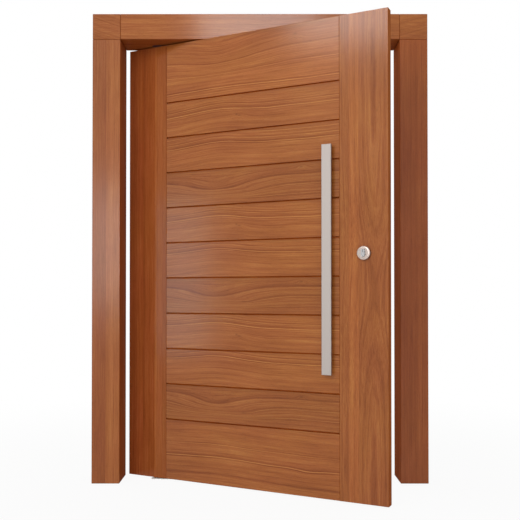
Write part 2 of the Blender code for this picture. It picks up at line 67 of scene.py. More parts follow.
def add_node(tree, kind, inputs=(), **settings):
    """A node with its settings; inputs are pairs of a socket and the value or the output that it takes."""
    node = tree.nodes.new(kind)
    for setting, value in settings.items():
        setattr(node, setting, value)
    for socket, value in inputs:
        if isinstance(value, bpy.types.NodeSocket):
            tree.links.new(value, node.inputs[socket])
        else:
            node.inputs[socket].default_value = value
    return node


def new_material(name):
    """A material with an empty node tree."""
    material = bpy.data.materials.new(name)
    material.use_nodes = True
    material.node_tree.nodes.clear()
    return material, material.node_tree


def own_axes(tree, source, place):
    """A point of the piece in the axes of a place."""
    return add_node(tree, "ShaderNodeMapping", (
        ("Vector", source.outputs["Object"]), ("Location", place.translation), ("Rotation", place.to_euler()),
    ), vector_type="TEXTURE").outputs["Vector"]


def facing(tree, source, place):
    """How squarely a surface faces the front or the back of a place, from 0 to 1."""
    normal = add_node(tree, "ShaderNodeMapping", (
        ("Vector", source.outputs["Normal"]), ("Rotation", place.to_euler()),
    ), vector_type="TEXTURE").outputs["Vector"]
    forwards = add_node(tree, "ShaderNodeSeparateXYZ", (("Vector", normal),)).outputs["Z"]
    return add_node(tree, "ShaderNodeMath", ((0, forwards),), operation="ABSOLUTE").outputs["Value"]


def local_box(node, place):
    """Lowest and highest corner of a node in the axes of a place."""
    back = place.inverted()
    points = [back @ vertex.co for vertex in frame["nodes"][node].data.vertices]
    low = Vector([min(point[i] for point in points) for i in range(3)])
    high = Vector([max(point[i] for point in points) for i in range(3)])
    return low, high


def dress(node, material):
    """A CAD node in its finished material."""
    for slot in frame["nodes"][node].material_slots:
        slot.material = material


# Timber: X along its grain, Y across its face and Z out of its face, from its middle

ALONG_X = Matrix(((1, 0, 0), (0, 0, -1), (0, 1, 0))).to_4x4()  # grain along X, across the face up
ALONG_Z = Matrix(((0, -1, 0), (0, 0, -1), (1, 0, 0))).to_4x4()  # grain up, across the face to the left

SIDE_SHADE = (0.88, 0.80, 0.78)  # painted shade: what is left of the wood's colour on a timber's sides, darker and redder
UNSHADED_SIDES = (1.0, 1.0, 1.0)

# The shapes of a strong ring, from its heart's side outwards: offset in widths and what it adds to the tone
LINE = ((-1.3, 0.0), (-0.3, -0.15), (0.3, -0.15), (1.3, 0.0))  # one dark line
PAIR = (  # a pale line between two dark ones
    (-2.9, 0.0), (-2.1, -0.21), (-1.0, 0.28), (0.0, -0.20), (1.1, -0.16), (2.6, 0.0),
)
STEP = (  # a dark line with paler wood before it and darker wood beyond
    (-3.4, 0.0), (-1.3, 0.10), (-0.5, -0.17), (0.3, -0.17), (1.0, -0.04), (4.8, -0.03), (6.0, 0.0),
)


class Stave(NamedTuple):
    """One of the strips that a timber is glued from, each out of another log."""

    start: float = 0.0  # where it begins, in parts of the timber's width
    heart_shift: float = 0.0  # how far aside its log's heart lies
    brightness: float = 1.0
    redness: float = 0.0


class Mark(NamedTuple):
    """A strong ring."""

    distance: float  # from the log's heart
    width: float
    strength: float  # 1 for the shape's own changes of tone
    shape: tuple


class Bend(NamedTuple):
    """Where the grain bends, round what was a branch."""

    along: float  # its middle on the timber's face
    across: float
    length: float
    width: float
    aside: float  # how far it moves the grain across the face
    deep: float = 0.0  # and in depth


class Knot(NamedTuple):
    """A small dark knot or, with a negative darkness, a painted patch of light."""

    along: float  # its middle on the timber's face
    across: float
    length: float
    width: float
    darkness: float


@dataclass
class Timber:
    """How one timber is cut from its log and what colour its wood has; lengths in metres."""

    heart: tuple = (0.0, 0.03)  # where the log's heart lies, across the face and behind it
    lean: tuple = (0.0, 0.0)  # how much the heart leans from the grain, across and in depth
    bends: tuple = ()
    marks: tuple = ()  # up to 5, or the colour ramp that draws them runs out of stops
    wander: float = 0.02  # how far the rings wave about
    shift: float = 0.0  # how far along its log the timber was cut
    tones: tuple = ("7C3C16", "A55F2E", "C07E42")  # dark, middle and light wood
    staves: tuple = (Stave(),)
    knots: tuple = ()
    sheen: float = 0.5  # how much its varnish mirrors
    softness: float = 0.15  # how blurred it does
    grooved: bool = False  # whether it is a board, with stain gathered in the channels beside it and painted shade below the joint over it
    # what the sides keep of the wood's colour, as painted shade
    sides: tuple = SIDE_SHADE
    shoulders: tuple = ()  # which ends have a dark joint with a tenon beyond it, 1 up or right and -1 left


# Sizes of the wood's figure
RING_WIDTH = 26 * MM
RING_LINE = 0.07  # how much of a ring its dark line takes
FINE_RING_WIDTH = 6 * MM
FIBRE_LENGTH = 150 * MM
FIBRE_WIDTH = 3.0 * MM
PORE_LENGTH = 16 * MM  # real pores are 0.2 mm wide and 5 mm long, drawn coarser so that they show
PORE_WIDTH = 1.2 * MM
CLOUD_LENGTH = 380 * MM
CLOUD_WIDTH = 90 * MM
GRAIN_WAVES = (2.2, 5.0, 5.0)  # how often the grain waves in a metre along, across and in depth
LOG_LENGTH = 5.0
LOG_STEP = 0.37  # how far on along its log each stave was cut, in parts of the log
NOISE_LOW, NOISE_MIDDLE, NOISE_HIGH = 0.3, 0.5, 0.7  # where the values of a noise mostly lie
PORES_FROM, PORES_TO = 0.58, 0.70  # where those of the finest one turn to a pore

# How much each layer of the figure moves the wood's tone, and the value at which it doesn't
LAYERS = {
    "lines": (-0.08, 0.15),
    "growth": (0.12, 0.5),
    "fine": (0.16, 0.5),
    "fibres": (0.60, 0.5),
    "clouds": (0.35, 0.5),
    "marks": (1.0, 0.5),
}
NO_MARK = LAYERS["marks"][1]
DARK_TONE, MIDDLE_TONE, LIGHT_TONE = 0.15, 0.5, 0.80
PINKER = (0.01, -0.02, 0.05)  # what a pinker patch has more of each colour, and a yellower one less
REDDER = (0.0, -1.0, -0.4)  # and what a stave has more at a redness of 1
PORE_SHADE = -0.20  # what a pore adds to the brightness
WORN_SHADE = 0.1  # and a worn edge, at its palest fibres

# Edges, joints and painted shade
SIDE_FACING, FACE_FACING = 0.5, 0.9  # a surface is a side up to the one and a face from the other
WORN_EDGE = 2.5 * MM
JOINT_DEPTH = 2 * MM  # how far below the face the stain gathers
JOINT_STAIN = (1.3, 0.92, 0.62)  # what it leaves of the wood's colour there
END_STAIN = (0.72, 0.62, 0.52)  # and at the shoulders of a tenon
END_STAIN_REACH = 4 * MM
TENON_LENGTH = 25 * MM
TONGUE_HEIGHT = 10 * MM  # above a board's face, behind the next board
JOINT_SHADE_REACH = 15 * MM  # how far the painted shade reaches down a board below the joint over it
JOINT_SHADE = 0.86  # how bright the painted shade leaves the wood there

# The varnish and the wood under it
VARNISH_IOR = 1.5
SIDE_SHEEN = 0.02  # the sides hardly mirror
SMOOTH_WOOD, ROUGH_WOOD = 0.48, 0.60
GRAIN_RELIEF = 0.15 * MM
GRAIN_BUMP = 0.3  # how much of that relief is left under the varnish


def cut_staves(tree, wood, width, staves):
    """Where along its log a point's stave was cut, how its heart lies, how bright it is and how red."""
    parts = add_node(tree, "ShaderNodeSeparateXYZ", (("Vector", wood),))
    across = add_node(tree, "ShaderNodeMapRange", (
        ("Value", parts.outputs["Y"]), ("From Min", -width / 2), ("From Max", width / 2),
    )).outputs["Result"]
    ramp = add_node(tree, "ShaderNodeValToRGB", (("Fac", across),))
    ramp.color_ramp.interpolation = "CONSTANT"
    ramp.color_ramp.elements.remove(ramp.color_ramp.elements[1])
    for i, stave in enumerate(staves):
        stop = ramp.color_ramp.elements[0] if i == 0 else ramp.color_ramp.elements.new(stave.start)
        stop.color = (stave.heart_shift, stave.brightness, (i * LOG_STEP) % 1, stave.redness)
    kept = add_node(tree, "ShaderNodeSeparateColor", (("Color", ramp.outputs["Color"]),)).outputs
    return kept["Blue"], kept["Red"], kept["Green"], ramp.outputs["Alpha"]


def near_spot(tree, wood, spot):
    """1 at the middle of a bend or a knot, falling off as a bell over its length and width."""
    local = add_node(tree, "ShaderNodeMapping", (
        ("Vector", wood),
        ("Location", (spot.along, spot.across, 0.0)),
        ("Scale", (spot.length, spot.width, 1.0)),
    ), vector_type="TEXTURE").outputs["Vector"]
    square = add_node(tree, "ShaderNodeVectorMath", (
        (0, local), (1, local),
    ), operation="DOT_PRODUCT").outputs["Value"]
    falling = add_node(tree, "ShaderNodeMath", (
        (0, square), (1, -1.0),
    ), operation="MULTIPLY").outputs["Value"]
    return add_node(tree, "ShaderNodeMath", ((0, falling),), operation="EXPONENT").outputs["Value"]


def bend_grain(tree, wood, timber):
    """The grain waves about as the tree grew, and bends round what were branches."""
    slow = add_node(tree, "ShaderNodeVectorMath", (
        (0, wood), (1, GRAIN_WAVES),
    ), operation="MULTIPLY").outputs["Vector"]
    wave = add_node(tree, "ShaderNodeTexNoise", (
        ("Vector", slow), ("Scale", 1.0), ("Detail", 4.0), ("Roughness", 0.6),
    ), noise_dimensions="3D").outputs["Color"]
    wave = add_node(tree, "ShaderNodeVectorMath", (
        (0, wave), (1, (NOISE_MIDDLE, NOISE_MIDDLE, NOISE_MIDDLE)),
    ), operation="SUBTRACT").outputs["Vector"]
    bent = add_node(tree, "ShaderNodeVectorMath", (
        (0, wave), (1, (0.0, 2 * timber.wander, 2 * timber.wander)), (2, wood),
    ), operation="MULTIPLY_ADD").outputs["Vector"]
    for bend in timber.bends:
        move = add_node(tree, "ShaderNodeVectorMath", (
            (0, (0.0, bend.aside, bend.deep)), ("Scale", near_spot(tree, wood, bend)),
        ), operation="SCALE").outputs["Vector"]
        bent = add_node(tree, "ShaderNodeVectorMath", (
            (0, bent), (1, move),
        ), operation="ADD").outputs["Vector"]
    return bent


def strong_rings(tree, radius, marks):
    """The strong rings, in one ramp over the distance from the heart."""
    low = min(mark.distance + mark.width * mark.shape[0][0] for mark in marks) - MM
    high = max(mark.distance + mark.width * mark.shape[-1][0] for mark in marks) + MM
    place = add_node(tree, "ShaderNodeMapRange", (
        ("Value", radius), ("From Min", low), ("From Max", high),
    )).outputs["Result"]
    ramp = add_node(tree, "ShaderNodeValToRGB", (("Fac", place),))
    ramp.color_ramp.interpolation = "EASE"
    for end in ramp.color_ramp.elements:
        end.color = (NO_MARK, NO_MARK, NO_MARK, 1)
    for mark in marks:
        for offset, change in mark.shape:
            tone = NO_MARK + mark.strength * change
            stop = ramp.color_ramp.elements.new((mark.distance + offset * mark.width - low) / (high - low))
            stop.color = (tone, tone, tone, 1)
    return ramp.outputs["Color"]


def ring_layers(tree, bent, timber):
    """The rings about the log's heart: dark lines in broad growth, fine rings and the strong ones."""
    log = add_node(tree, "ShaderNodeMapping", (
        ("Vector", bent),
        ("Location", (0.0, -timber.heart[0], timber.heart[1])),
        ("Rotation", (0.0, timber.lean[1], timber.lean[0])),
    ), vector_type="POINT").outputs["Vector"]
    section = add_node(tree, "ShaderNodeVectorMath", (
        (0, log), (1, (0.0, 1.0, 1.0)),
    ), operation="MULTIPLY").outputs["Vector"]
    radius = add_node(tree, "ShaderNodeVectorMath", ((0, section),), operation="LENGTH").outputs["Value"]
    growth = add_node(tree, "ShaderNodeTexNoise", (
        ("W", radius), ("Scale", 1 / RING_WIDTH), ("Detail", 2.0), ("Roughness", 0.55),
    ), noise_dimensions="1D").outputs["Fac"]
    fine = add_node(tree, "ShaderNodeTexNoise", (
        ("W", radius), ("Scale", 1 / FINE_RING_WIDTH), ("Detail", 1.0),
    ), noise_dimensions="1D").outputs["Fac"]
    from_line = add_node(tree, "ShaderNodeMath", (
        (0, growth), (1, NOISE_MIDDLE),
    ), operation="SUBTRACT").outputs["Value"]
    from_line = add_node(tree, "ShaderNodeMath", ((0, from_line),), operation="ABSOLUTE").outputs["Value"]
    lines = add_node(tree, "ShaderNodeMapRange", (
        ("Value", from_line), ("From Min", 0.0), ("From Max", RING_LINE), ("To Min", 1.0), ("To Max", 0.0),
    ), interpolation_type="SMOOTHSTEP").outputs["Result"]
    layers = {"lines": lines, "growth": growth, "fine": fine}
    if timber.marks:
        layers["marks"] = strong_rings(tree, radius, timber.marks)
    return layers


def grain_streaks(tree, bent):
    """What runs with the grain: fibres, dark pores and clouds, which are patches of tone and of hue."""
    noises = []
    for long, wide, detail in (
        (FIBRE_LENGTH, FIBRE_WIDTH, 3.0),
        (PORE_LENGTH, PORE_WIDTH, 1.0),
        (CLOUD_LENGTH, CLOUD_WIDTH, 2.0),
    ):
        space = add_node(tree, "ShaderNodeVectorMath", (
            (0, bent), (1, (1 / long, 1 / wide, 1 / wide)),
        ), operation="MULTIPLY").outputs["Vector"]
        noises.append(add_node(tree, "ShaderNodeTexNoise", (
            ("Vector", space), ("Scale", 1.0), ("Detail", detail), ("Roughness", 0.6),
        ), noise_dimensions="3D").outputs)
    fibres, pores, clouds = noises
    pores = add_node(tree, "ShaderNodeMapRange", (
        ("Value", pores["Fac"]), ("From Min", PORES_FROM), ("From Max", PORES_TO),
    )).outputs["Result"]
    clouds = add_node(tree, "ShaderNodeSeparateColor", (("Color", clouds["Color"]),)).outputs
    return fibres["Fac"], pores, clouds["Red"], clouds["Green"]


def figure_colour(tree, layers, tones):
    """One tone from all layers, and the wood's colour at that tone."""
    tone = MIDDLE_TONE
    for layer, (weight, still) in LAYERS.items():
        if layer in layers:
            change = add_node(tree, "ShaderNodeMath", (
                (0, layers[layer]), (1, weight), (2, -weight * still),
            ), operation="MULTIPLY_ADD").outputs["Value"]
            tone = add_node(tree, "ShaderNodeMath", (
                (0, tone), (1, change),
            ), operation="ADD").outputs["Value"]
    ramp = add_node(tree, "ShaderNodeValToRGB", (("Fac", tone),))
    dark, middle, light = tones
    ramp.color_ramp.elements[0].position = DARK_TONE
    ramp.color_ramp.elements[0].color = to_linear(dark)
    ramp.color_ramp.elements[1].position = LIGHT_TONE
    ramp.color_ramp.elements[1].color = to_linear(light)
    ramp.color_ramp.elements.new(MIDDLE_TONE).color = to_linear(middle)
    return ramp.outputs["Color"]


def tint(tree, colour, hue, redness):
    """Patches run from yellower to pinker wood, and some staves are redder."""
    pinkness = add_node(tree, "ShaderNodeMapRange", (
        ("Value", hue), ("From Min", NOISE_LOW), ("From Max", NOISE_HIGH), ("To Min", -1.0), ("To Max", 1.0),
    )).outputs["Result"]
    pinker = add_node(tree, "ShaderNodeVectorMath", (
        (0, PINKER), ("Scale", pinkness),
    ), operation="SCALE").outputs["Vector"]
    redder = add_node(tree, "ShaderNodeVectorMath", (
        (0, REDDER), ("Scale", redness),
    ), operation="SCALE").outputs["Vector"]
    change = add_node(tree, "ShaderNodeVectorMath", (
        (0, pinker), (1, redder),
    ), operation="ADD").outputs["Vector"]
    change = add_node(tree, "ShaderNodeVectorMath", (
        (0, change), (1, (1, 1, 1)),
    ), operation="ADD").outputs["Vector"]
    return add_node(tree, "ShaderNodeVectorMath", (
        (0, colour), (1, change),
    ), operation="MULTIPLY").outputs["Vector"]


def stain_and_shade(tree, colour, clean, rest):
    """The colour, but times the rest where it isn't clean: real stain at the joints, painted shade on the
    sides.
    """
    part = add_node(tree, "ShaderNodeVectorMath", (
        (0, clean), (1, [1 - channel for channel in rest]), (2, rest),
    ), operation="MULTIPLY_ADD").outputs["Vector"]
    return add_node(tree, "ShaderNodeVectorMath", (
        (0, colour), (1, part),
    ), operation="MULTIPLY").outputs["Vector"]


def varnished_timber(name, place, size, timber):
    """Reddish brown hardwood, planed, sanded and satin varnished.

    It shows rings, fibres and pores under a soft sheen, a little paler at its worn edges.
    """
    length, width, depth = size
    material, tree = new_material(name)
    source = add_node(tree, "ShaderNodeTexCoord")
    wood = own_axes(tree, source, place)
    parts = add_node(tree, "ShaderNodeSeparateXYZ", (("Vector", wood),)).outputs
    face = add_node(tree, "ShaderNodeMapRange", (
        ("Value", facing(tree, source, place)), ("From Min", SIDE_FACING), ("From Max", FACE_FACING),
    )).outputs["Result"]

    # The grain in its log, stave by stave
    cut_at, heart_shift, brightness, redness = cut_staves(tree, wood, width, timber.staves)
    bent = bend_grain(tree, wood, timber)
    along = add_node(tree, "ShaderNodeMath", (
        (0, cut_at), (1, LOG_LENGTH), (2, timber.shift),
    ), operation="MULTIPLY_ADD").outputs["Value"]
    offset = add_node(tree, "ShaderNodeCombineXYZ", (("X", along), ("Y", heart_shift))).outputs["Vector"]
    bent = add_node(tree, "ShaderNodeVectorMath", (
        (0, bent), (1, offset),
    ), operation="ADD").outputs["Vector"]
    layers = ring_layers(tree, bent, timber)
    fibres, pores, patches, hue = grain_streaks(tree, bent)
    layers.update(fibres=fibres, clouds=patches)
    colour = tint(tree, figure_colour(tree, layers, timber.tones), hue, redness)

    # Pores and knots are dark and worn edges pale; a knot of negative darkness is a painted patch of light
    from_middle = add_node(tree, "ShaderNodeMath", ((0, parts["Y"]),), operation="ABSOLUTE").outputs["Value"]
    worn = add_node(tree, "ShaderNodeMapRange", (
        ("Value", from_middle), ("From Min", width / 2 - WORN_EDGE), ("From Max", width / 2),
    ), interpolation_type="SMOOTHSTEP").outputs["Result"]
    worn = add_node(tree, "ShaderNodeMath", (
        (0, worn), (1, fibres),
    ), operation="MULTIPLY").outputs["Value"]
    shade = add_node(tree, "ShaderNodeMath", (
        (0, pores), (1, PORE_SHADE), (2, brightness),
    ), operation="MULTIPLY_ADD").outputs["Value"]
    shade = add_node(tree, "ShaderNodeMath", (
        (0, worn), (1, WORN_SHADE), (2, shade),
    ), operation="MULTIPLY_ADD").outputs["Value"]
    for knot in timber.knots:
        shade = add_node(tree, "ShaderNodeMath", (
            (0, near_spot(tree, wood, knot)), (1, -knot.darkness), (2, shade),
        ), operation="MULTIPLY_ADD").outputs["Value"]
    colour = add_node(tree, "ShaderNodeVectorMath", (
        (0, colour), ("Scale", shade),
    ), operation="SCALE").outputs["Vector"]

    # Painted shade on the sides, and stain gathered at the shoulders and in the channels
    colour = stain_and_shade(tree, colour, face, timber.sides)
    for end in timber.shoulders:
        shoulder = end * (length / 2 - TENON_LENGTH)
        from_end = add_node(tree, "ShaderNodeMath", (
            (0, parts["X"]), (1, shoulder),
        ), operation="SUBTRACT").outputs["Value"]
        from_end = add_node(tree, "ShaderNodeMath", ((0, from_end),), operation="ABSOLUTE").outputs["Value"]
        clean_end = add_node(tree, "ShaderNodeMapRange", (
            ("Value", from_end), ("From Min", END_STAIN_REACH / 2), ("From Max", END_STAIN_REACH),
        )).outputs["Result"]
        colour = stain_and_shade(tree, colour, clean_end, END_STAIN)
    clean = 1.0
    if timber.grooved:
        joint = width / 2 - TONGUE_HEIGHT
        # Painted shade: a board darkens towards the joint over it
        shade_below_joint = add_node(tree, "ShaderNodeMapRange", (
            ("Value", parts["Y"]), ("From Min", joint - JOINT_SHADE_REACH), ("From Max", joint),
            ("To Min", 1.0), ("To Max", JOINT_SHADE),
        )).outputs["Result"]
        colour = add_node(tree, "ShaderNodeVectorMath", (
            (0, colour), ("Scale", shade_below_joint),
        ), operation="SCALE").outputs["Vector"]
        outwards = add_node(tree, "ShaderNodeMath", ((0, parts["Z"]),), operation="ABSOLUTE").outputs["Value"]
        clean = add_node(tree, "ShaderNodeMapRange", (
            ("Value", outwards),
            ("From Min", depth / 2 - JOINT_DEPTH), ("From Max", depth / 2 - JOINT_DEPTH / 2),
        )).outputs["Result"]
        colour = stain_and_shade(tree, colour, clean, JOINT_STAIN)

    # The wood's own surface, which doesn't mirror, and the varnish as a coat on it
    rough = add_node(tree, "ShaderNodeMapRange", (
        ("Value", fibres), ("From Min", NOISE_LOW), ("From Max", NOISE_HIGH),
        ("To Min", SMOOTH_WOOD), ("To Max", ROUGH_WOOD),
    )).outputs["Result"]
    varnish = add_node(tree, "ShaderNodeMapRange", (
        ("Value", face), ("To Min", SIDE_SHEEN), ("To Max", timber.sheen),
    )).outputs["Result"]
    varnish = add_node(tree, "ShaderNodeMath", (
        (0, varnish), (1, clean),
    ), operation="MULTIPLY").outputs["Value"]
    height = add_node(tree, "ShaderNodeMath", (
        (0, pores), (1, -1.0), (2, fibres),
    ), operation="MULTIPLY_ADD").outputs["Value"]
    bump = add_node(tree, "ShaderNodeBump", (
        ("Height", height), ("Strength", GRAIN_BUMP), ("Distance", GRAIN_RELIEF),
    )).outputs["Normal"]
    shader = add_node(tree, "ShaderNodeBsdfPrincipled", (
        ("Base Color", colour), ("Roughness", rough), ("Normal", bump),
        ("IOR", VARNISH_IOR), ("Specular IOR Level", 0.0),
        ("Coat Weight", varnish), ("Coat Roughness", timber.softness), ("Coat IOR", VARNISH_IOR),
    ))
    add_node(tree, "ShaderNodeOutputMaterial", (("Surface", shader.outputs["BSDF"]),))
    return material


# The boards come from one log, sawn to three boards in turn: crest and dip lie over each other

BOARDS = 11
FAR = 0.4  # from the heart to the middle of such a board
CREST = -0.16  # where along the boards the grain crests or dips
ALL_ACROSS = 9.0  # the width of a bend that moves a timber's grain from edge to edge
LEVEL_BOARD = 8.5  # below this one the figure lies higher in each board
BOARD_RISE = 2.9 * MM
BOARD = {"heart": (-FAR, 0.0), "wander": 0.007, "grooved": True}


def middle_boards():
    """The three kinds that follow each other down the leaf."""
    crest = Bend(CREST, 0.0, 0.19, ALL_ACROSS, -0.024)
    plain = Timber(
        bends=(crest,),
        marks=(
            Mark(FAR + 0.020, 0.0035, 1.0, PAIR),
            Mark(FAR + 0.040, 0.003, 0.6, PAIR),
            Mark(FAR + 0.068, 0.0035, 0.5, PAIR),
        ),
        shift=4.1, **BOARD,
    )
    knotty = Timber(
        bends=(crest, Bend(-0.05, -0.020, 0.05, 0.016, -0.012)),
        marks=(
            Mark(FAR + 0.008, 0.0035, 1.0, PAIR),
            Mark(FAR + 0.028, 0.003, 0.6, PAIR),
            Mark(FAR - 0.033, 0.0035, 0.5, PAIR),
        ),
        knots=(Knot(-0.06, -0.012, 0.006, 0.004, 0.35), Knot(-0.045, -0.018, 0.008, 0.004, 0.3)),
        shift=2.9, **BOARD,
    )
    dip = Bend(CREST - 0.012, -0.010, 0.20, 0.055, 0.045)
    rise = Bend(CREST + 0.01, -0.068, 0.15, 0.032, -0.020)
    eye = Bend(-0.01, -0.028, 0.08, 0.020, 0.011)
    round_knot = Bend(0.27, 0.066, 0.04, 0.012, -0.014)
    wavy = Timber(
        bends=(dip, rise, eye, round_knot),
        marks=(
            Mark(FAR + 0.033, 0.006, 1.0, STEP),
            Mark(FAR - 0.014, 0.0035, 0.5, PAIR),
            Mark(FAR - 0.055, 0.0035, 0.6, PAIR),
        ),
        knots=(Knot(0.265, 0.060, 0.008, 0.0035, 0.3), Knot(-0.02, -0.030, 0.012, 0.004, 0.15)),
        staves=(Stave(brightness=0.90),), shift=1.3, **BOARD,
    )
    return plain, knotty, wavy


def wide_boards():
    """The bottom and the top board by their numbers."""
    bottom = Timber(
        bends=(Bend(CREST, 0.0, 0.25, ALL_ACROSS, -0.014), Bend(0.3, -0.05, 0.08, 0.03, 0.010)),
        marks=(
            Mark(FAR - 0.028, 0.0035, 1.0, PAIR),
            Mark(FAR + 0.030, 0.003, 0.6, PAIR),
            Mark(FAR - 0.110, 0.006, 1.2, LINE),
        ),
        shift=3.3, **BOARD,
    )
    top = Timber(
        bends=(
            Bend(CREST, 0.06, 0.20, 0.09, 0.042),
            Bend(CREST, -0.1, 0.25, 0.05, -0.012),
            Bend(0.235, 0.085, 0.05, 0.016, -0.016),
        ),
        marks=(
            Mark(FAR + 0.053, 0.005, 1.0, STEP),
            Mark(FAR + 0.104, 0.006, 0.8, LINE),
            Mark(FAR - 0.020, 0.004, 0.5, PAIR),
            Mark(FAR - 0.105, 0.0035, 1.0, PAIR),
            Mark(FAR - 0.125, 0.003, 0.5, PAIR),
        ),
        # The second knot, of negative darkness, is a painted patch of light on the board's right half
        knots=(Knot(0.235, 0.095, 0.010, 0.006, 0.25), Knot(0.24, -0.07, 0.26, 0.10, -0.11)),
        staves=(Stave(brightness=1.04),), shift=1.7, **BOARD,
    )
    return {1: bottom, BOARDS: top}


def upright_timbers():
    """The stiles and the jambs, glued from staves."""
    left_stile = Timber(
        heart=(0.3, 0.05), wander=0.008, tones=("783A18", "9C5528", "B06A3A"), sheen=0.25,
        # The stave from 0.62, at the stile's left edge, is paler: painted light that lifts the shade under
        # the jamb
        staves=(
            Stave(0.0, 0.1, 0.98, -0.04), Stave(0.1, 0.0, 1.07, -0.07),
            Stave(0.31, 0.2, 0.97, 0.09), Stave(0.62, 0.3, 1.14, 0.11),
        ),
    )
    right_stile = Timber(
        heart=(-0.045, 0.012), wander=0.010,
        bends=(Bend(-0.14, 0.0, 0.33, ALL_ACROSS, 0.0, 0.045), Bend(0.1, 0.0, 0.2, ALL_ACROSS, 0.012)),
        marks=(
            Mark(0.030, 0.004, 0.7, LINE),
            Mark(0.043, 0.003, 0.5, LINE),
            Mark(0.058, 0.004, 0.7, LINE),
            Mark(0.085, 0.004, 0.6, LINE),
        ),
        knots=(Knot(0.135, -0.022, 0.010, 0.003, 0.3), Knot(0.62, -0.06, 0.008, 0.003, 0.2)),
        staves=(Stave(0.0, 0.0, 0.95, 0.01), Stave(0.6, 0.25, 1.08, -0.03), Stave(0.8, 0.4, 0.95, 0.0)),
    )
    left_jamb = Timber(
        heart=(0.3, 0.05), wander=0.008, tones=("763A18", "9E5B2E", "B47440"), softness=0.22,
        staves=(Stave(0.0, 0.0, 1.07, 0.0), Stave(0.5, 0.1, 0.89, 0.07)),
        shoulders=(1,),
    )
    right_jamb = Timber(
        # no painted shade on its sides
        heart=(0.3, 0.05), wander=0.008, tones=("7E3B17", "A05528", "B66B38"), sides=UNSHADED_SIDES,
        shoulders=(1,),
    )
    return {
        "left_stile": (LEAF_AXES, left_stile),
        "right_stile": (LEAF_AXES, right_stile),
        "left_jamb": (FRAME_AXES, left_jamb),
        "right_jamb": (FRAME_AXES, right_jamb),
    }


def cross_timbers():
    """The head and the two blocks that join it to the jambs."""
    return {
        "head": Timber(heart=(0.35, 0.05), wander=0.012, shift=0.4, shoulders=(-1, 1)),
        "left_corner_block": Timber(
            heart=(0.09, 0.05), lean=(0.3, 0.0), shift=2.2, staves=(Stave(brightness=0.94),),
        ),
        "right_corner_block": Timber(heart=(0.09, 0.05), lean=(-0.3, 0.0), shift=1.4),
    }


def finish_timber(node, axes, grain, timber):
    """One node in its wood, with the grain along one of its axes."""
    low, high = local_box(node, axes)
    place = axes @ Matrix.Translation((low + high) / 2) @ grain
    size = high - low
    length, width = (size.x, size.z) if grain is ALONG_X else (size.z, size.x)
    dress(node, varnished_timber(f"{node}_varnished_hardwood", place, (length, width, size.y), timber))


def finish_timbers():
    """Each timber in its own wood."""
    middle = middle_boards()
    wide = wide_boards()
    for number in range(1, BOARDS + 1):
        timber = wide.get(number)
        if timber is None:
            heart = ((LEVEL_BOARD - number) * BOARD_RISE - FAR, 0.0)
            timber = replace(middle[number % len(middle)], heart=heart)
        finish_timber(f"board_{number:02d}", LEAF_AXES, ALONG_X, timber)
    for node, (axes, timber) in upright_timbers().items():
        finish_timber(node, axes, ALONG_Z, timber)
    for node, timber in cross_timbers().items():
        finish_timber(node, FRAME_AXES, ALONG_X, timber)


# Steel

BRUSH_MARK_LENGTH = 60 * MM
BRUSH_MARK_WIDTH = 0.8 * MM  # real marks are under 0.1 mm wide, drawn coarser so that they show
DARK_BRUSH_MARK, PALE_BRUSH_MARK = 0.94, 1.04  # how bright the steel is there
BRUSHED_SPREAD = 0.05  # how far its roughness goes up and down with the marks
BRUSHED_RELIEF = 0.05 * MM
BRUSHED_BUMP = 0.15

# How squarely the parts of a turned piece face the front
WALL_END, RIM_START, RIM_END, FACE_START = 0.05, 0.3, 0.93, 0.99


